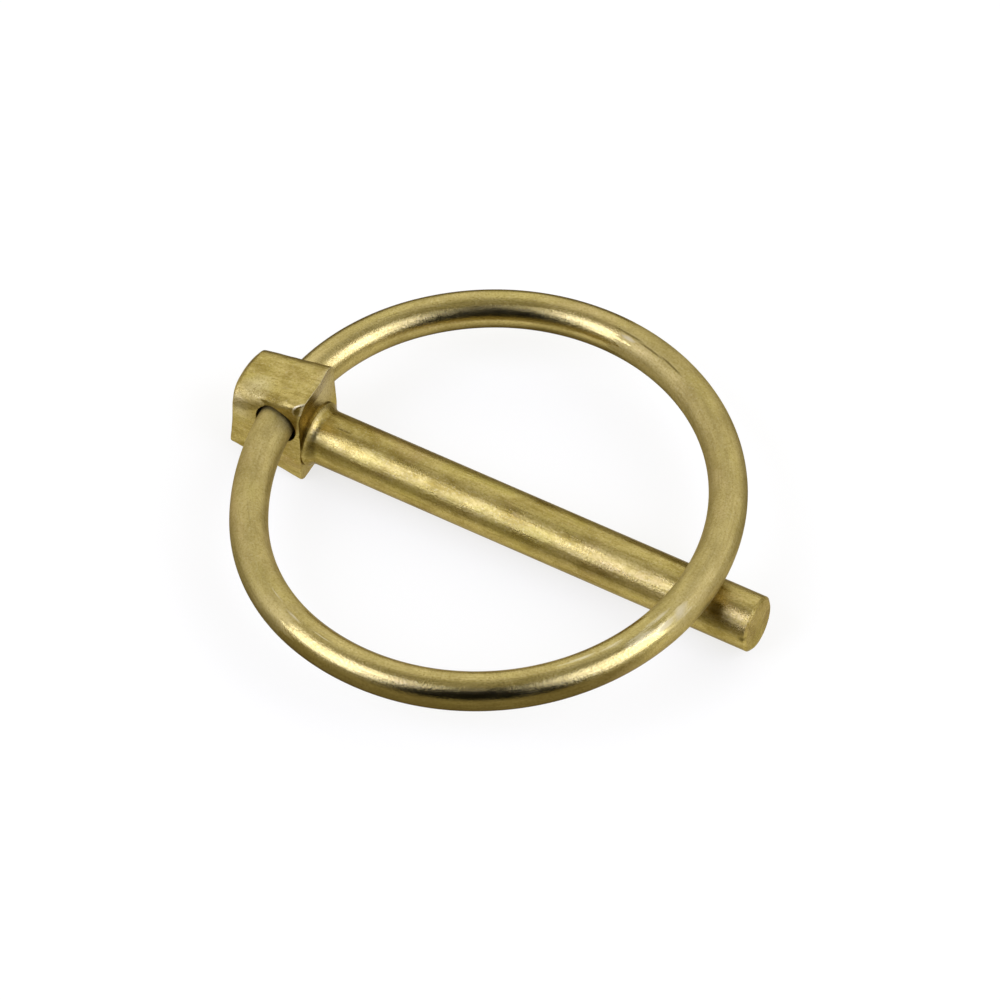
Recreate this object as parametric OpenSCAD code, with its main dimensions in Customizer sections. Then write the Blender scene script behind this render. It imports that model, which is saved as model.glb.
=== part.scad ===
// Lynch pin: a forged pin with a block head, and a wire ring threaded through the head.
// The pin lies along +X, tail forwards. The origin is on the shank's axis, in the flat
// seat under the head, and +Z points to the top of the head. The ring's hinge axis is
// the hole that crosses the head along Y; its near side is -Y.

/* [Shank] */
// Diameter of the shank
shank_d = 4.76; // [3:0.02:5.2]
// Length of the shank, from the seat to the tail
shank_len = 41.5; // [39.5:0.5:80]
// Diameter of the collar at the shank's root
collar_d = 5.7; // [5.4:0.05:6]
// Length of the collar
collar_len = 0.15; // [0.1:0.05:1]
// Radius of the hollow between the collar and the shank
hollow_r = 1; // [0.6:0.1:2]
// Height of the tail's chamfer, across the shank
chamfer_rise = 0.25; // [0.1:0.05:1]
// Length of the tail's chamfer, along the shank
chamfer_run = 0.2; // [0.1:0.05:1]

/* [Head] */
// Length of the head's top, from the seat to the outer end
head_len = 7.1; // [6:0.1:12]
// Distance of the near side from the shank's axis, at the axis's height
head_near = 3; // [2.95:0.05:5]
// Lean of the near side towards the top, in degrees
near_lean = 2.2; // [0:0.1:3]
// Distance of the far side from the shank's axis
head_far = 3.1; // [2.95:0.05:5]
// Height of the head's top above the shank's axis, at the seat
head_top = 6.4; // [6:0.1:12]
// Fall of the head's top towards the outer end, in degrees
top_fall = 14; // [0:0.5:15]
// Depth of the head's foot below the shank's axis, at the seat
head_foot = 3.1; // [3:0.1:6]
// Rise of the head's foot towards the outer end, in degrees
foot_rise = 11; // [0:0.5:15]
// Radius of the two long edges of the head's foot
edge_r = 0.8; // [0.2:0.1:1.2]
// Radius of the head's upper far edge
far_edge_r = 1.9; // [0.2:0.1:2.2]
// Radius of the crowned outer end, at the top
crown_r = 6; // [4.5:0.1:6.5]
// Distance of the crowned end's axis to the far side of the shank's axis
crown_aside = 0.35; // [0:0.05:0.5]
// Flare of the crowned end towards the foot, in degrees
crown_flare = 17.5; // [5:0.5:25]
// Radius of the crowned end's upper edge
brow_r = 1.3; // [0.5:0.1:2]
// Width of the worn upper near edge at the seat, on each of its two faces
worn_start = 0.5; // [0.4:0.05:1]
// Growth of that width for each millimetre towards the outer end
worn_growth = 0.27; // [0.1:0.01:0.35]
// Diameter of the hole for the ring
hole_d = 3.74; // [3.7:0.02:3.9]
// Distance of the hole's axis behind the seat
hole_back = 2.25; // [2.1:0.05:3]
// Height of the hole's axis above the shank's axis
hole_up = 3.1; // [2.7:0.05:3.3]

/* [Ring] */
// Diameter of the ring's wire
wire_d = 3.2; // [2:0.02:3.24]
// Radius of the ring, to the middle of the wire
ring_r = 19.85; // [19:0.05:20.5]
// How far the ring lies to the near side
ring_aside = 1.35; // [0:0.05:1.5]
// Depth to which the ring is flattened where it threads the head
flat_depth = 0.75; // [0.5:0.05:0.9]
// Radius of the flattened stretch
flat_r = 24; // [23:0.5:28]
// Radius of the bends on each side of the flattened stretch
bend_r = 17.6; // [15:0.1:18]
// How far round the middle of the flattened stretch has slid out of the hole, in degrees
flat_slip = 14; // [0:1:16]
// Gap between the wire's two ends, inside the hole
end_gap = 0.6; // [0.2:0.1:2]
// How far the wire sits off the middle of the hole, away from the tail
wire_back = 0.2; // [0:0.05:0.2]
// How far the wire sits below the middle of the hole
wire_down = 0.05; // [0:0.05:0.05]
// Gap between the closed ring and the shank that it lies on
rest_gap = 0.05; // [0.02:0.01:0.1]

/* [Hidden] */
$fn = 96;
shank_r = shank_d / 2;
collar_r = collar_d / 2;
wire_r = wire_d / 2;

// The bodies that meet in the head run this deep, past its other faces, and the round
// edges start a hair outside the faces they meet, so that no two surfaces are tangent.
deep = 3 * head_top;
flare = 2;
seam = 0.02;

// The ring is a circle with one flattened stretch, an arc of a larger circle, and a
// tighter bend on each side of it. Angles are about the ring's middle, from the tail.
bend_thinning = 0.01;
bend_overlap = 0.5;
flat_mid = 180 + flat_slip;
flat_centre = flat_r - ring_r + flat_depth;
bend_centre = ring_r - bend_r;
bend_turn = acos(1 - flat_depth * (2 * (flat_centre + bend_centre) - flat_depth)
    / (2 * flat_centre * bend_centre));
flat_turn = atan2(bend_centre * sin(bend_turn), flat_centre + bend_centre * cos(bend_turn));

// The wire's ends meet in the middle of the hole, and the ring tilts to lie on the shank.
ends_at = 180 - asin((ring_aside + flat_centre * sin(flat_mid)) / flat_r);
ring_reach = flat_centre * cos(flat_mid) - flat_r * cos(ends_at);
crossing_reach = sqrt(ring_r ^ 2 - ring_aside ^ 2);
wire_up = hole_up - wire_down;
ring_tilt = asin((shank_r + wire_r + rest_gap - wire_up) / (ring_reach + crossing_reach));

function unit(v) = v / norm(v);

function direction(angle) = [cos(angle), sin(angle)];

function near_at(height) = head_near - height * tan(near_lean);

// A convex outline with rounded corners: a polygon through the points where the arcs
// begin and end, and a circle in each corner.
module rounded_outline(corners, radii) {
    last = len(corners) - 1;
    back = [for (i = [0:last]) unit(corners[i == 0 ? last : i - 1] - corners[i])];
    ahead = [for (i = [0:last]) unit(corners[i == last ? 0 : i + 1] - corners[i])];
    half = [for (i = [0:last]) acos(back[i] * ahead[i]) / 2];
    polygon([for (i = [0:last]) each [
        corners[i] + radii[i] / tan(half[i]) * back[i],
        corners[i] + radii[i] / tan(half[i]) * ahead[i]]]);
    for (i = [0:last])
        if (radii[i] > 0)
            translate(corners[i] + radii[i] / sin(half[i]) * unit(back[i] + ahead[i]))
                circle(r = radii[i]);
}

// The head's two sides and its flat seat, as a bar along the X axis.
module head_sides() {
    rotate([90, 0, 90]) translate([0, 0, -2 * head_len]) linear_extrude(2 * head_len)
        polygon([[-near_at(-deep), -deep], [head_far, -deep], [head_far, deep], [-near_at(deep), deep]]);
}

// A bar with one flat, round-edged face. It runs outwards from the seat at the height
// level and climbs by climb degrees. The bar is below its face, or above it if way is -1.
module round_edged_face(level, climb, way, near_r, far_r) {
    near = near_at(level) + seam;
    far = head_far + seam;
    translate([0, 0, level]) rotate([0, climb, 0])
        rotate([90, 0, 90]) translate([0, 0, -2 * head_len]) linear_extrude(3 * head_len)
            rounded_outline(
                [[-near - flare, -way * deep], [far + flare, -way * deep], [far, 0], [-near, 0]],
                [0, 0, far_r, near_r]);
}

// The crowned outer end, turned about an axis square to the head's sloping top.
module crown() {
    axis_back = head_len - crown_r * cos(top_fall);
    translate([-axis_back, crown_aside, head_top - axis_back * tan(top_fall) + seam])
        rotate([0, -top_fall, 0]) rotate_extrude()
            rounded_outline(
                [[0, 0], [0, -deep], [crown_r + deep * tan(crown_flare), -deep], [crown_r, 0]],
                [0, 0, 0, brow_r]);
}

// The metal that wear has taken off the upper near edge. What it leaves is part of a cone
// that runs into both faces, with its point on the line where they would meet.
module worn_off() {
    half = (90 + near_lean) / 2;
    lean = atan(worn_growth / cos(half));
    long = 3 * head_len;
    translate([0, -near_at(head_top), head_top])
        rotate([0, -top_fall, 0]) rotate([0, 0, atan(sin(top_fall) * tan(near_lean))])
            translate([worn_start / worn_growth, 0, 0]) rotate([90 - half, 0, 0]) difference() {
                rotate([0, -atan(worn_growth * cos(half)), 0])
                    translate([-long, -long / 2, 0]) cube(long);
                translate([0, 0, seam]) rotate([0, -90 - lean, 0])
                    cylinder(h = 2 * long, r1 = 0, r2 = 2 * long * tan(asin(sin(lean) * sin(half))));
            }
}

module head() {
    difference() {
        intersection() {
            head_sides();
            round_edged_face(head_top, -top_fall, 1, 0, far_edge_r);
            round_edged_face(-head_foot, foot_rise, -1, edge_r, edge_r);
            crown();
        }
        worn_off();
    }
}

// The shank, and the collar at its root, which runs down to it in a hollow. They are turned
// about the X axis and rooted in the head.
module shank() {
    root = 1;
    hollow_end = collar_len + sqrt(hollow_r ^ 2 - (hollow_r + shank_r - collar_r) ^ 2);
    rotate([0, 90, 0]) rotate_extrude() difference() {
        polygon([[0, -root], [collar_r, -root], [collar_r, collar_len], [shank_r, hollow_end],
            [shank_r, shank_len - chamfer_run], [shank_r - chamfer_rise, shank_len], [0, shank_len]]);
        translate([shank_r + hollow_r, hollow_end]) circle(r = hollow_r);
    }
}

module pin() {
    color("darkkhaki") difference() {
        union() {
            head();
            shank();
        }
        translate([-hole_back, 0, hole_up]) rotate([90, 0, 0])
            cylinder(d = hole_d, h = 4 * head_far, center = true);
    }
}

// A stretch of the ring's wire, bent round a centre from one angle to another.
module wire_arc(centre, radius, from, to, section_r = wire_r) {
    translate([centre.x, centre.y, 0]) rotate(from) rotate_extrude(angle = to - from)
        translate([radius, 0]) circle(r = section_r);
}

// One of the two bends. It is a hair thinner than its neighbours and runs into them.
module bend(side) {
    middle = flat_mid + side * (bend_turn + flat_turn) / 2;
    half_turn = (bend_turn - flat_turn) / 2 + bend_overlap;
    wire_arc(bend_centre * direction(flat_mid + side * bend_turn), bend_r,
        middle - half_turn, middle + half_turn, wire_r - bend_thinning);
}

module ring() {
    gap_turn = asin(end_gap / 2 / flat_r);
    flat_from = -flat_centre * direction(flat_mid);
    color("darkkhaki")
        translate([-hole_back - wire_back, 0, wire_up]) rotate([0, -ring_tilt, 0])
            translate([ring_reach, -ring_aside, 0]) {
                wire_arc([0, 0], ring_r, flat_mid - 360 + bend_turn, flat_mid - bend_turn);
                bend(-1);
                bend(1);
                wire_arc(flat_from, flat_r, flat_mid - flat_turn, ends_at - gap_turn);
                wire_arc(flat_from, flat_r, ends_at + gap_turn, flat_mid + flat_turn);
            }
}

pin();
ring();
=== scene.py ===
import math

import bmesh
import bpy
from mathutils import Matrix, Vector, noise


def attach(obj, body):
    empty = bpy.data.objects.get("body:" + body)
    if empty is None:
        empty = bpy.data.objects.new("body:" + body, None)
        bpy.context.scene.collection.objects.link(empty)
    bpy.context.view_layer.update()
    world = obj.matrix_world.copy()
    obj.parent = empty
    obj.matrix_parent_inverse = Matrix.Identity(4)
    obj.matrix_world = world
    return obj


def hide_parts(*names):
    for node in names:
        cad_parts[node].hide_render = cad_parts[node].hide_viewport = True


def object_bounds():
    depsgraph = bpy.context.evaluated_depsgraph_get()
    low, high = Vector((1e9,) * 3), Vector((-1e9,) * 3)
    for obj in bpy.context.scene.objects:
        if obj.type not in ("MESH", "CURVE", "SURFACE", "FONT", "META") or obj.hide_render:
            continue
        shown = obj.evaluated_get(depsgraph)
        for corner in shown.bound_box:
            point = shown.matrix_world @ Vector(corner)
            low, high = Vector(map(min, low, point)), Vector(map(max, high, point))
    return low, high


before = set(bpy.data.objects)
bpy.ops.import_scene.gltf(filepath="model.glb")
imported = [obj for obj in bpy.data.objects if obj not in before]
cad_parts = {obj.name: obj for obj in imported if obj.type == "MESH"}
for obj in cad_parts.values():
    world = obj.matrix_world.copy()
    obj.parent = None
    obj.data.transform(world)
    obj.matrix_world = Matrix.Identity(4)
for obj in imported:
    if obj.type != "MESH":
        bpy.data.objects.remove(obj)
cad_box = [list(corner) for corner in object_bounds()]


# ---- Forged head ----------------------------------------------------------------------
# The block head is hot forged on the end of the shank, drilled for the ring and barrelled,
# so its edges are worn. A knock has nicked its near corner and left a lip on the seat's edge.

VOXEL = 0.000085
SMOOTHING_STEPS = 5
SEAT_X = 0.0
CORNER = Vector((0.0, -0.002754, 0.0064))
NICK_FACING = Vector((0.586, -0.761, 0.279))
NICK_DEPTH = 0.00044
NICK_REACH = 0.0012
BARE_ABOVE = 0.0053
RIM_DEPTH = 0.00017
NICK_EDGE = 0.00016
SEAT_DEPTH = 0.0001
SEAT_FACING = 0.93
FORGING_LUMP = 0.000065
FORGING_LUMP_SIZE = 0.0028
LIP = 0.0003
LIP_NEAR = 0.0005
LIP_FAR = 0.0026
LIP_FOOT = 0.0045
LIP_TOP = 0.0064
LIP_BACK = 0.0015


def settled(mesh, name, *steps):
    """A mesh with modifiers applied, each given as its type and its settings."""
    piece = bpy.data.objects.new(name, mesh)
    bpy.context.scene.collection.objects.link(piece)
    for kind, settings in steps:
        modifier = piece.modifiers.new(kind.title(), kind)
        for setting, value in settings.items():
            setattr(modifier, setting, value)
    bpy.context.view_layer.update()
    made = bpy.data.meshes.new_from_object(piece.evaluated_get(bpy.context.evaluated_depsgraph_get()))
    bpy.data.objects.remove(piece)
    return made


def share(value, low, high):
    """How far value is from low to high, held between 0 and 1."""
    return min(1.0, max(0.0, (value - low) / (high - low)))


def cut(shape, at, facing):
    """Cuts a closed shape at a plane, drops what lies past it and closes the cut."""
    everything = shape.verts[:] + shape.edges[:] + shape.faces[:]
    bmesh.ops.bisect_plane(shape, geom=everything, dist=1e-8, plane_co=at, plane_no=facing,
                           clear_outer=True)
    rim = [edge for edge in shape.edges if edge.is_boundary]
    bmesh.ops.holes_fill(shape, edges=rim, sides=0)


head = bmesh.new()
head.from_mesh(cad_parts["pin"].data)
bmesh.ops.remove_doubles(head, verts=head.verts, dist=1e-7)
cut(head, Vector((SEAT_X, 0, 0)), Vector((1, 0, 0)))
nick_at = CORNER - NICK_DEPTH * NICK_FACING
cut(head, nick_at, NICK_FACING)
bmesh.ops.triangulate(head, faces=head.faces)
bmesh.ops.recalc_face_normals(head, faces=head.faces)
rough_head = bpy.data.meshes.new("rough_head")
head.to_mesh(rough_head)
head.free()

head_mesh = settled(
    rough_head, "head",
    ("REMESH", {"mode": "VOXEL", "voxel_size": VOXEL}),
    ("SMOOTH", {"factor": 0.5, "iterations": SMOOTHING_STEPS}))

# The plating is rubbed off the seat's upper rim and round the nick, and the seat is smooth.
# That bare metal on the upper edges is also a painted highlight. Lumps from the hammer cover
# the rest, and the seat's upper edge stands forward as a lip.
head = bmesh.new()
head.from_mesh(head_mesh)
head.normal_update()
bare_and_sheen = head.verts.layers.float.new("bare_and_sheen")
smooth = head.verts.layers.float.new("smooth")
for vert in head.verts:
    facing = vert.normal.copy()
    off_nick = abs((vert.co - nick_at).dot(NICK_FACING))
    on_rim = vert.co.x > SEAT_X - RIM_DEPTH and 0.25 < facing.x < SEAT_FACING
    by_nick = off_nick < NICK_EDGE and (vert.co - CORNER).length < NICK_REACH
    # Bare rims, which also paint in the highlight along the upper edges.
    if vert.co.z > BARE_ABOVE and (on_rim or (by_nick and facing.dot(NICK_FACING) < 0.84)):
        vert[bare_and_sheen] = 1.0
    if vert.co.x > SEAT_X - SEAT_DEPTH and facing.x > SEAT_FACING:
        vert[smooth] = 1.0
    lump = noise.noise(vert.co / FORGING_LUMP_SIZE) + 0.5 * noise.noise(vert.co / FORGING_LUMP_SIZE * 2.3)
    vert.co += facing * lump * FORGING_LUMP * (1 - vert[smooth])
    lip = share(vert.co.y, LIP_FAR, LIP_NEAR) * share(vert.co.z, LIP_FOOT, LIP_TOP)
    vert.co.x += LIP * lip * share(vert.co.x, SEAT_X - LIP_BACK, SEAT_X)


# ---- Shank ----------------------------------------------------------------------------
# The shank is drawn round steel bar, the same metal as the head. It swells into a collar at
# its root in a hollow, and its tail was sheared off a little out of square and chamfered.

SHANK_R = 0.00238
SHANK_LEN = 0.0415
COLLAR_R = 0.00285
COLLAR_LEN = 0.00015
HOLLOW_R = 0.001
CHAMFER_RISE = 0.00025
CHAMFER_RUN = 0.0002
SKEW_FROM = 0.0385
TAIL_SHORTER = 0.00013
TAIL_SKEW = Vector((0.02, 0.05))
ROOT_DEPTH = 0.0009
SHANK_SIDES = 128
SHANK_STEP = 0.0004
HOLLOW_STEPS = 14

hollow_turn = math.acos(1 - (COLLAR_R - SHANK_R) / HOLLOW_R)
hollow_end = COLLAR_LEN + HOLLOW_R * math.sin(hollow_turn)
profile = [(-ROOT_DEPTH, 0), (-ROOT_DEPTH, COLLAR_R), (COLLAR_LEN, COLLAR_R)]
for step in range(1, HOLLOW_STEPS + 1):
    turn = hollow_turn * (1 - step / HOLLOW_STEPS)
    profile.append((hollow_end - HOLLOW_R * math.sin(turn), SHANK_R + HOLLOW_R * (1 - math.cos(turn))))
chamfer_at = SHANK_LEN - CHAMFER_RUN
rings = round((chamfer_at - hollow_end) / SHANK_STEP)
for ring in range(1, rings + 1):
    profile.append((hollow_end + (chamfer_at - hollow_end) * ring / rings, SHANK_R))
profile.append((SHANK_LEN, SHANK_R - CHAMFER_RISE))
profile.append((SHANK_LEN, 0))

shank = bmesh.new()
points = [shank.verts.new((x, 0, r)) for x, r in profile]
for start, end in zip(points, points[1:]):
    shank.edges.new((start, end))
bmesh.ops.spin(shank, geom=shank.verts[:] + shank.edges[:], cent=(0, 0, 0), axis=(1, 0, 0),
               angle=2 * math.pi, steps=SHANK_SIDES, use_merge=True)
bmesh.ops.remove_doubles(shank, verts=shank.verts, dist=1e-7)
for vert in shank.verts:
    if vert.co.x > SKEW_FROM:
        vert.co.x -= share(vert.co.x, SKEW_FROM, SHANK_LEN) * (TAIL_SHORTER + TAIL_SKEW.dot(vert.co.yz))
bmesh.ops.recalc_face_normals(shank, faces=shank.faces)
shank_mesh = bpy.data.meshes.new("shank")
shank.to_mesh(shank_mesh)
shank.free()

head.from_mesh(shank_mesh)
pin_mesh = bpy.data.meshes.new("pin_forging")
head.to_mesh(pin_mesh)
head.free()
pin_mesh.shade_smooth()
pin_mesh.set_sharp_from_angle(angle=math.radians(28))
pin = bpy.data.objects.new("pin_forging", pin_mesh)
bpy.context.scene.collection.objects.link(pin)
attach(pin, "pin")
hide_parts("pin")


# The forging is zinc plated and yellow passivated: a satin brass-green film over bright
# zinc, blotchy where the bath was uneven and streaked where the bar was drawn.

def metal(name):
    """A new node material, its node tree and its shader, set up as plated steel."""
    material = bpy.data.materials.new(name)
    material.use_nodes = True
    shader = material.node_tree.nodes["Principled BSDF"]
    shader.inputs["Metallic"].default_value = 1.0
    shader.inputs["Specular Tint"].default_value = (0.55, 0.51, 0.47, 1)
    return material, material.node_tree, shader


def linked(tree, kind, inputs, output=0, **settings):
    """A new node with its settings, and its inputs given as values or as other nodes' outputs."""
    made = tree.nodes.new(kind)
    for setting, value in settings.items():
        setattr(made, setting, value)
    for socket, value in inputs.items():
        if isinstance(value, bpy.types.NodeSocket):
            tree.links.new(value, made.inputs[socket])
        else:
            made.inputs[socket].default_value = value
    return made.outputs[output]


def grain(tree, where, stretch, size, detail=4.0, roughness=0.6):
    """Noise of a feature size in metres, drawn out along the metal by stretch."""
    drawn = linked(tree, "ShaderNodeMapping", {"Vector": where, "Scale": (1 / stretch, 1, 1)})
    return linked(tree, "ShaderNodeTexNoise",
                  {"Vector": drawn, "Scale": 1 / size, "Detail": detail, "Roughness": roughness})


def levels(tree, value, low, high, to_low=0.0, to_high=1.0):
    """value taken from the span low to high to the span to_low to to_high, and held there."""
    return linked(tree, "ShaderNodeMapRange",
                  {"Value": value, "From Min": low, "From Max": high, "To Min": to_low, "To Max": to_high})


def sum_of(tree, value, factor, more):
    """value times factor, plus more."""
    return linked(tree, "ShaderNodeMath", {0: value, 1: factor, 2: more}, operation="MULTIPLY_ADD")


def blended(tree, cover, under, over):
    """Two colours mixed, with cover from 0, all under, to 1, all over."""
    mixed = tree.nodes.new("ShaderNodeMix")
    mixed.data_type = "RGBA"
    for socket, value in ((0, cover), (6, under), (7, over)):
        if isinstance(value, bpy.types.NodeSocket):
            tree.links.new(value, mixed.inputs[socket])
        else:
            mixed.inputs[socket].default_value = value
    return mixed.outputs[2]


def patches(tree, where, spots):
    """1 at the middle of each spot, falling to 0 at its edge. A spot is a middle, a half
    length along the metal and a half width across it."""
    total = None
    for middle, long, wide in spots:
        apart = linked(tree, "ShaderNodeVectorMath", {0: where, 1: middle}, operation="SUBTRACT")
        scaled = linked(tree, "ShaderNodeVectorMath",
                        {0: apart, 1: (1 / long, 1 / wide, 1 / wide)}, operation="MULTIPLY")
        distance = linked(tree, "ShaderNodeVectorMath", {0: scaled}, output=1, operation="LENGTH")
        spot = levels(tree, distance, 1.0, 0.0)
        total = spot if total is None else linked(
            tree, "ShaderNodeMath", {0: total, 1: spot}, operation="MAXIMUM")
    return total


OLIVE = (0.255, 0.188, 0.040, 1)
BRASS = (0.470, 0.374, 0.125, 1)
LEMON = (0.450, 0.370, 0.092, 1)
ROSY = (0.450, 0.335, 0.140, 1)
CREAM = (0.630, 0.545, 0.280, 1)
BARE = (0.655, 0.585, 0.370, 1)
# Dark dirt in the scratches, also used as painted shade on the pin.
GRIME_AND_SHADE = (0.110, 0.078, 0.016, 1)
CLOUD_SIZE = 0.0016
BLUSH_SIZE = 0.0030
STREAK_SIZE = 0.00025
GRIT_SIZE = 0.00018
RAGGED_SIZE = 0.00045
SATIN_SIZE = 0.0012
PIT_SIZE = 0.00016
LINE_SIZE = 0.00030
CLOUD_MIDDLE = 0.445
CLOUD_SPAN = 0.105
MATT_ROUGHER = 0.34
RUBBED_ROUGHER = 0.18


def yellow_zinc(name, along, matt, pale_and_sheen, worn_and_sheen, scratched_and_shaded, gloss, pitting, blotchy, gritty):
    """Yellow passivated zinc. along, matt, pale, worn and scratched are functions that add
    nodes to a tree: the coordinates whose X runs along the metal, and shares from 0 to 1."""
    material, tree, shader = metal(name)
    place = linked(tree, "ShaderNodeTexCoord", {}, output=3)
    drawn = along(tree)

    # The film: olive clouds over brass, yellower and rosier blushes, drawing streaks and grit.
    cloud = grain(tree, drawn, 2.2, CLOUD_SIZE, detail=6.0, roughness=0.65)
    span = CLOUD_SPAN / blotchy
    film = blended(tree, levels(tree, cloud, CLOUD_MIDDLE - span, CLOUD_MIDDLE + span), OLIVE, BRASS)
    blush = grain(tree, drawn, 2.4, BLUSH_SIZE, detail=4.0)
    film = blended(tree, levels(tree, blush, 0.54, 0.66, 0.0, 0.7 * blotchy), film, LEMON)
    film = blended(tree, levels(tree, blush, 0.46, 0.34, 0.0, 0.7 * blotchy), film, ROSY)
    streak = grain(tree, drawn, 22.0, STREAK_SIZE, detail=3.0)
    film = blended(tree, levels(tree, streak, 0.51, 0.66, 0.0, gritty), film, OLIVE)
    # Cream over the film: an even paler tone on the ring, and on the pin's head painted highlights and a
    # painted reflection on the seat.
    film = blended(tree, pale_and_sheen(tree, drawn), film, CREAM)
    grit = grain(tree, place, 1.0, GRIT_SIZE, detail=2.0, roughness=0.7)
    film = blended(tree, levels(tree, grit, 0.48, 0.34, 0.0, gritty), film, OLIVE)
    film = blended(tree, levels(tree, grit, 0.56, 0.72, 0.0, 0.5 * gritty), film, BARE)

    # What use has done to it: rubbed patches with ragged edges, and dirt in the scratches. On the
    # pin the rubbed upper rims are also a painted highlight, and some dark marks are painted shade.
    ragged = grain(tree, drawn, 7.0, RAGGED_SIZE, detail=5.0, roughness=0.7)
    rub_and_sheen = levels(tree, sum_of(tree, ragged, 2.0, worn_and_sheen(tree, drawn)), 1.35, 1.90, 0.0, 0.75)
    film = blended(tree, rub_and_sheen, film, BARE)
    scratch_and_shade = scratched_and_shaded(tree, drawn)
    film = blended(tree, levels(tree, scratch_and_shade, 0.1, 0.6, 0.0, 0.7), film, GRIME_AND_SHADE)
    tree.links.new(film, shader.inputs["Base Color"])

    dull = matt(tree, drawn, ragged)
    satin = grain(tree, drawn, 3.0, SATIN_SIZE, detail=5.0)
    polish = levels(tree, satin, 0.35, 0.65, gloss - 0.05, gloss + 0.08)
    rough = sum_of(tree, rub_and_sheen, RUBBED_ROUGHER, sum_of(tree, dull, MATT_ROUGHER, polish))
    tree.links.new(rough, shader.inputs["Roughness"])

    # Fine pits, and drawing lines along the metal.
    pits = grain(tree, place, 1.0, PIT_SIZE, detail=3.0, roughness=0.7)
    lines = grain(tree, drawn, 40.0, LINE_SIZE, detail=3.0)
    relief = sum_of(tree, lines, 0.6, pits)
    relief = sum_of(tree, scratch_and_shade, -1.5, relief)
    bump = linked(tree, "ShaderNodeBump", {"Height": relief, "Distance": pitting, "Strength": 1.0})
    tree.links.new(bump, shader.inputs["Normal"])
    return material


# The pin's marks, each a middle, a half length along the pin and a half width across it: a
# scratch, painted shade in the nick and in the hollow, painted shade beside where the ring
# crosses the shank, and a knock by the tail.
PIN_MARKS_AND_SHADE = [(Vector((0.0028, -0.0003, 0.00236)), 0.0010, 0.00013),
                 (Vector((-0.0003, -0.0025, 0.0057)), 0.00038, 0.00050),
                 (Vector((0.0006, -0.0023, 0.0006)), 0.0008, 0.0012),
                 (Vector((0.0383, -0.0014, 0.0019)), 0.0009, 0.0009),
                 (Vector((0.0411, -0.00225, 0.0006)), 0.0004, 0.0003)]
# The pin's cream patches: painted highlights on the head's top and near side, and a painted reflection on the
# seat's upper part.
PIN_PAINTED_SHEEN = [(Vector((-0.0047, -0.0014, 0.0052)), 0.0019, 0.0014),
            (Vector((-0.0058, -0.0028, 0.0031)), 0.0014, 0.0016),
            (Vector((0.0001, 0.0013, 0.0043)), 0.0006, 0.0030)]
PIN_POLISHED = [(Vector((0.0397, -0.0012, 0.0020)), 0.0020, 0.0016)]
PIN_GLOSS = 0.27
PIN_PITTING = 0.000024
PIN_BLOTCHES = 1.0
PIN_GRIT = 0.6
SEAT_GLOSS = 0.40


def pin_place(tree):
    return linked(tree, "ShaderNodeTexCoord", {}, output=3)


# Painted highlights and a painted reflection on the head, as cream patches.
def pin_painted_sheen(tree, drawn):
    return levels(tree, patches(tree, drawn, PIN_PAINTED_SHEEN), 0.0, 1.0, 0.0, 0.85)


# Rims rubbed bare, which also paint in the highlight along the head's upper edges.
def pin_bare_and_sheen(tree, drawn):
    return linked(tree, "ShaderNodeAttribute", {}, output=2, attribute_name="bare_and_sheen")


# The pin's scratch and knock, with painted shade in the nick, the hollow and by the ring.
def pin_marked_and_shaded(tree, drawn):
    return patches(tree, drawn, PIN_MARKS_AND_SHADE)


def pin_matt(tree, drawn, ragged):
    smooth_seat = linked(tree, "ShaderNodeAttribute", {}, output=2, attribute_name="smooth")
    dull = sum_of(tree, smooth_seat, -SEAT_GLOSS, levels(tree, ragged, 0.45, 0.65, 0.0, 0.24))
    return sum_of(tree, patches(tree, drawn, PIN_POLISHED), -0.18, dull)


pin_mesh.materials.append(yellow_zinc(
    "pin_yellow_zinc", pin_place, pin_matt, pin_painted_sheen, pin_bare_and_sheen, pin_marked_and_shaded,
    PIN_GLOSS, PIN_PITTING, PIN_BLOTCHES, PIN_GRIT))


# ---- Ring -----------------------------------------------------------------------------
# The ring is one length of spring wire, bent round until its two ends meet in the head's
# hole. It is a circle flattened where it threads the head, with a tighter bend each side.

WIRE_R = 0.0016
RING_R = 0.01985
RING_ASIDE = 0.00135
FLAT_DEPTH = 0.00075
FLAT_R = 0.024
BEND_R = 0.0176
FLAT_MID = math.radians(194)
END_GAP = 0.0006
HOLE_BACK = 0.00225
HOLE_UP = 0.0031
WIRE_BACK = 0.0002
WIRE_DOWN = 0.00005
REST_GAP = 0.00005
WIRE_SIDES = 64
WIRE_STEP = math.radians(1.2)

flat_centre = FLAT_R - RING_R + FLAT_DEPTH
bend_centre = RING_R - BEND_R
bend_turn = math.acos(1 - FLAT_DEPTH * (2 * (flat_centre + bend_centre) - FLAT_DEPTH)
                      / (2 * flat_centre * bend_centre))
flat_turn = math.atan2(bend_centre * math.sin(bend_turn),
                       flat_centre + bend_centre * math.cos(bend_turn))
ends_at = math.pi - math.asin((RING_ASIDE + flat_centre * math.sin(FLAT_MID)) / FLAT_R)
ring_reach = flat_centre * math.cos(FLAT_MID) - FLAT_R * math.cos(ends_at)
crossing_reach = math.sqrt(RING_R ** 2 - RING_ASIDE ** 2)
wire_up = HOLE_UP - WIRE_DOWN
ring_tilt = math.asin((SHANK_R + WIRE_R + REST_GAP - wire_up) / (ring_reach + crossing_reach))


def on_circle(centre, radius, angle):
    return Vector((centre[0] + radius * math.cos(angle), centre[1] + radius * math.sin(angle), 0))


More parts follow.
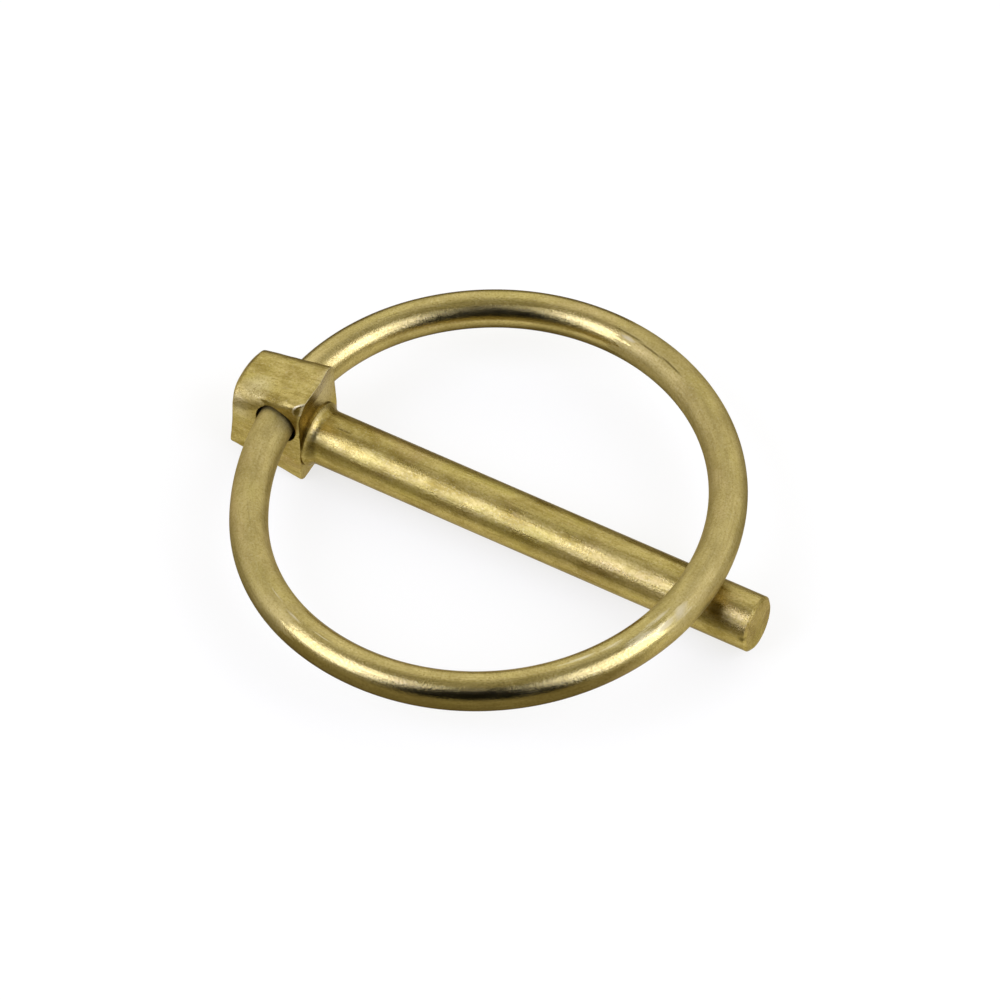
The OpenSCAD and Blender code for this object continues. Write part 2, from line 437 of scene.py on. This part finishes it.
# Each arc is its middle, its radius and the angles it runs between; the wire starts and
# ends in the hole.
flat_middle = -flat_centre * Vector((math.cos(FLAT_MID), math.sin(FLAT_MID), 0))
bend_after = on_circle((0, 0), bend_centre, FLAT_MID + bend_turn)
bend_before = on_circle((0, 0), bend_centre, FLAT_MID - bend_turn)
gap_turn = math.asin(END_GAP / 2 / FLAT_R)
arcs = [
    (flat_middle, ends_at + gap_turn, FLAT_MID + flat_turn),
    (bend_after, FLAT_MID + flat_turn, FLAT_MID + bend_turn),
    (Vector((0, 0, 0)), FLAT_MID + bend_turn, FLAT_MID - bend_turn + 2 * math.pi),
    (bend_before, FLAT_MID - bend_turn, FLAT_MID - flat_turn),
    (flat_middle, FLAT_MID - flat_turn, ends_at - gap_turn),
]

ring = bmesh.new()
start = on_circle(flat_middle, FLAT_R, ends_at + gap_turn)
along = ends_at + gap_turn
section = Matrix.Translation(start) @ Matrix.Rotation(along, 4, "Z") @ Matrix.Rotation(math.pi / 2, 4, "X")
bmesh.ops.create_circle(ring, cap_ends=False, segments=WIRE_SIDES, radius=WIRE_R, matrix=section)
front = ring.verts[:] + ring.edges[:]
for centre, turn_from, turn_to in arcs:
    turn = turn_to - turn_from
    spun = bmesh.ops.spin(ring, geom=front, cent=centre, axis=(0, 0, 1), angle=turn,
                          steps=max(2, round(turn / WIRE_STEP)))
    front = spun["geom_last"]
bmesh.ops.remove_doubles(ring, verts=ring.verts, dist=1e-8)
open_ends = [edge for edge in ring.edges if edge.is_boundary]
bmesh.ops.holes_fill(ring, edges=open_ends, sides=0)
bmesh.ops.recalc_face_normals(ring, faces=ring.faces)
drawn = ring.verts.layers.float_vector.new("drawn")
for vert in ring.verts:
    across = vert.co.xy.length
    vert[drawn] = (RING_R * math.atan2(vert.co.y, vert.co.x), across, vert.co.z)
place = (Matrix.Translation((-HOLE_BACK - WIRE_BACK, 0, wire_up))
         @ Matrix.Rotation(-ring_tilt, 4, "Y")
         @ Matrix.Translation((ring_reach, -RING_ASIDE, 0)))
bmesh.ops.transform(ring, matrix=place, verts=ring.verts)
ring_mesh = bpy.data.meshes.new("wire_ring")
ring.to_mesh(ring_mesh)
ring.free()
ring_mesh.shade_smooth()
ring_mesh.set_sharp_from_angle(angle=math.radians(40))
wire_ring = bpy.data.objects.new("wire_ring", ring_mesh)
bpy.context.scene.collection.objects.link(wire_ring)
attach(wire_ring, "ring")
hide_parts("ring")

# The wire's rubbed patches and its scratch. Each is an angle about the ring's middle, distances
# outwards and upwards from the middle of the wire, a half length and a half width.
RUBBED = [(-37, -0.0002, 0.0016, 0.0026, 0.00035), (-29, -0.0001, 0.0016, 0.0026, 0.00035),
          (-16, 0.00015, 0.0016, 0.0022, 0.00035), (-22, 0.00055, 0.0015, 0.0028, 0.0006),
          (-16, 0.0008, 0.0014, 0.0024, 0.0007), (-11, 0.0009, 0.0013, 0.0018, 0.0007),
          (-118, 0.0, 0.0016, 0.0018, 0.00016), (-110, 0.0002, 0.0016, 0.0018, 0.00016),
          (-101, 0.0001, 0.0016, 0.0020, 0.00012), (81, -0.0007, 0.0014, 0.0011, 0.0003)]
SCRATCHES = [(81, -0.0004, 0.00155, 0.0020, 0.00014), (74, -0.0005, 0.0015, 0.0020, 0.00014),
             (67, -0.0004, 0.00155, 0.0020, 0.00014)]
MATT_SIDE = math.radians(33)
MATT_LEAN = 0.15
RING_GLOSS = 0.19
RING_PITTING = 0.000020
RING_PALE = 0.18
RING_BLOTCHES = 0.55
RING_GRIT = 0.45


def on_wire(marks):
    """The marks as middles, half lengths and half widths in the wire's own coordinates."""
    return [(Vector((RING_R * math.radians(angle), RING_R + out, up)), long, wide)
            for angle, out, up, long, wide in marks]


def drawn_place(tree):
    return linked(tree, "ShaderNodeAttribute", {}, output=1, attribute_name="drawn")


def ring_pale(tree, drawn):
    return RING_PALE


def ring_worn(tree, drawn):
    return patches(tree, drawn, on_wire(RUBBED))


def ring_scratched(tree, drawn):
    return patches(tree, drawn, on_wire(SCRATCHES))


def ring_matt(tree, drawn, ragged):
    """The ring is matt on two opposite sides, with a ragged border, and polished between them."""
    along = linked(tree, "ShaderNodeSeparateXYZ", {0: drawn})
    turned = sum_of(tree, along, 1 / RING_R, -MATT_SIDE)
    turned = linked(tree, "ShaderNodeMath", {0: turned}, operation="COSINE")
    leaning = linked(tree, "ShaderNodeMath", {0: turned, 1: MATT_LEAN}, operation="ADD")
    side = linked(tree, "ShaderNodeMath", {0: turned, 1: leaning}, operation="MULTIPLY")
    return levels(tree, sum_of(tree, ragged, 0.4, side), 0.69, 0.73)


ring_mesh.materials.append(yellow_zinc(
    "ring_yellow_zinc", drawn_place, ring_matt, ring_pale, ring_worn, ring_scratched,
    RING_GLOSS, RING_PITTING, RING_BLOTCHES, RING_GRIT))


# ---- Camera ---------------------------------------------------------------------------
# The pin is seen from above and in front, from about half a metre away through a long lens.

LENS_MM = 230.07
CAMERA_AT = Vector((0.18392, -0.27140, 0.41711))
CAMERA_RIGHT = Vector((0.8697185, 0.4928261, -0.0266863))
CAMERA_UP = Vector((-0.3772871, 0.6987326, 0.6078052))
CAMERA_BACK = Vector((0.3181889, -0.5185510, 0.7936376))

lens = bpy.data.cameras.new("camera")
lens.lens = LENS_MM
lens.sensor_width = 36
lens.clip_start = 0.01
camera = bpy.data.objects.new("camera", lens)
camera.matrix_world = Matrix.Translation(CAMERA_AT) @ Matrix(
    (CAMERA_RIGHT, CAMERA_UP, CAMERA_BACK)).transposed().to_4x4()
bpy.context.scene.collection.objects.link(camera)
bpy.context.scene.camera = camera


# ---- Studio ---------------------------------------------------------------------------
# The pin lies on a white table between two cool softboxes. The walls are pale at the back and
# dim and warm in front, with the dark of the room behind the camera, which the metal reflects.

FLOOR_SIZE = 6.0
FLOOR_WHITE = (0.25, 0.245, 0.21, 1)
FLOOR_IN_METAL = (0.24, 0.205, 0.10, 1)
FLOOR_GLOW = 0.735
GLOW_BY_PIN = 0.82
GLOW_FAR = 0.05
POOL_HALF_WIDTH = 0.007
POOL_FADES_BY = 0.014
BACK_LEVEL = 1.22
FRONT_LEVEL = 0.35
FRONT_COLOUR = (1.0, 0.90, 0.62, 1)
FRONT_TO_BACK = (-0.85, 0.50)
CEILING_SHARE = 0.52
CEILING_FROM_TO = (0.80, 0.96)
LEFT_LAMP = (-127, 40, 36, 46)
RIGHT_LAMP = (-6, 40, 38, 43)
LAMP_DISTANCE = 0.6
LAMP_LEVEL = 3.15
LAMP_COLOUR = (0.95, 1.01, 1.50)
RING_MIDDLE = Vector((0.0168, 0, 0))
CARD_TOWARDS = (-62.5, 28)
CARD_DISTANCE = 0.75
CARD_WIDE = math.radians(77)
CARD_TALL = math.radians(78)


def towards(azimuth, elevation, distance):
    """The point that far from the ring's middle, in that direction."""
    a, e = math.radians(azimuth), math.radians(elevation)
    return RING_MIDDLE + distance * Vector(
        (math.cos(e) * math.cos(a), math.cos(e) * math.sin(a), math.sin(e)))


def facing_middle(at):
    """A placement at that point whose -Z looks at the ring's middle."""
    look = (RING_MIDDLE - at).to_track_quat("-Z", "Y")
    return Matrix.Translation(at) @ look.to_matrix().to_4x4()


def softbox(name, azimuth, elevation, wide, tall):
    """A softbox that spans wide by tall degrees as the pin sees it."""
    lamp = bpy.data.lights.new(name, "AREA")
    lamp.shape = "RECTANGLE"
    lamp.size = 2 * LAMP_DISTANCE * math.tan(math.radians(wide / 2))
    lamp.size_y = 2 * LAMP_DISTANCE * math.tan(math.radians(tall / 2))
    lamp.energy = LAMP_LEVEL * math.pi * lamp.size * lamp.size_y
    lamp.color = LAMP_COLOUR
    box = bpy.data.objects.new(name, lamp)
    box.matrix_world = facing_middle(towards(azimuth, elevation, LAMP_DISTANCE))
    bpy.context.scene.collection.objects.link(box)


softbox("softbox_left", *LEFT_LAMP)
softbox("softbox_right", *RIGHT_LAMP)

# The table is white to the camera. The metal sees a bright pool beside the pin, and the table
# dimmer and warmer farther out.
table = bmesh.new()
bmesh.ops.create_grid(table, x_segments=1, y_segments=1, size=FLOOR_SIZE / 2,
                      matrix=Matrix.Translation((0, 0, cad_box[0][2])))
table_mesh = bpy.data.meshes.new("table")
table.to_mesh(table_mesh)
table.free()
white = bpy.data.materials.new("white_table")
white.use_nodes = True
paint = white.node_tree.nodes["Principled BSDF"]
paint.inputs["Roughness"].default_value = 1.0
paint.inputs["Specular IOR Level"].default_value = 0.0
paint.inputs["Emission Color"].default_value = (1, 1, 1, 1)
path = white.node_tree.nodes.new("ShaderNodeLightPath")
colour = blended(white.node_tree, path.outputs["Is Glossy Ray"], FLOOR_WHITE, FLOOR_IN_METAL)
white.node_tree.links.new(colour, paint.inputs["Base Color"])
seen = linked(white.node_tree, "ShaderNodeMath",
              {0: path.outputs["Is Camera Ray"], 1: path.outputs["Is Transmission Ray"]}, operation="MAXIMUM")
glow = linked(white.node_tree, "ShaderNodeMath", {0: seen, 1: FLOOR_GLOW}, operation="MULTIPLY")
spot = linked(white.node_tree, "ShaderNodeTexCoord", {}, output=3)
aside = linked(white.node_tree, "ShaderNodeSeparateXYZ", {0: spot}, output=1)
aside = linked(white.node_tree, "ShaderNodeMath", {0: aside}, operation="ABSOLUTE")
in_metal = levels(white.node_tree, aside, POOL_HALF_WIDTH, POOL_FADES_BY, GLOW_BY_PIN, GLOW_FAR)
glow = sum_of(white.node_tree, path.outputs["Is Glossy Ray"], in_metal, glow)
white.node_tree.links.new(glow, paint.inputs["Emission Strength"])
table_mesh.materials.append(white)
table_top = bpy.data.objects.new("table_top", table_mesh)
bpy.context.scene.collection.objects.link(table_top)

card = bmesh.new()
card_wide = 2 * CARD_DISTANCE * math.tan(CARD_WIDE / 2)
card_tall = 2 * CARD_DISTANCE * math.tan(CARD_TALL / 2)
card_place = facing_middle(towards(*CARD_TOWARDS, CARD_DISTANCE))
bmesh.ops.create_grid(card, x_segments=1, y_segments=1, size=0.5,
                      matrix=card_place @ Matrix.Diagonal((card_wide, card_tall, 1, 1)))
card_mesh = bpy.data.meshes.new("dark_room")
card.to_mesh(card_mesh)
card.free()
black = bpy.data.materials.new("black_card")
black.use_nodes = True
black.node_tree.nodes["Principled BSDF"].inputs["Base Color"].default_value = (0.01, 0.01, 0.01, 1)
black.node_tree.nodes["Principled BSDF"].inputs["Specular IOR Level"].default_value = 0.0
card_mesh.materials.append(black)
dark_room = bpy.data.objects.new("dark_room", card_mesh)
dark_room.visible_camera = False
bpy.context.scene.collection.objects.link(dark_room)

walls = bpy.data.worlds.new("pale_walls")
walls.use_nodes = True
sky = linked(walls.node_tree, "ShaderNodeTexCoord", {}, output=0)
back = linked(walls.node_tree, "ShaderNodeSeparateXYZ", {0: sky}, output=1)
height = linked(walls.node_tree, "ShaderNodeSeparateXYZ", {0: sky}, output=2)
level = levels(walls.node_tree, back, *FRONT_TO_BACK, FRONT_LEVEL, BACK_LEVEL)
ceiling = levels(walls.node_tree, height, *CEILING_FROM_TO, 1.0, CEILING_SHARE)
level = linked(walls.node_tree, "ShaderNodeMath", {0: level, 1: ceiling}, operation="MULTIPLY")
by_camera = linked(walls.node_tree, "ShaderNodeLightPath", {})
level = levels(walls.node_tree, by_camera, 0.0, 1.0, level, 1.0)
walls.node_tree.links.new(level, walls.node_tree.nodes["Background"].inputs["Strength"])
white_share = levels(walls.node_tree, back, *FRONT_TO_BACK)
white_share = linked(walls.node_tree, "ShaderNodeMath", {0: white_share, 1: by_camera}, operation="MAXIMUM")
colour = blended(walls.node_tree, white_share, FRONT_COLOUR, (1, 1, 1, 1))
walls.node_tree.links.new(colour, walls.node_tree.nodes["Background"].inputs["Color"])
bpy.context.scene.world = walls
bpy.context.scene.view_settings.view_transform = "Standard"
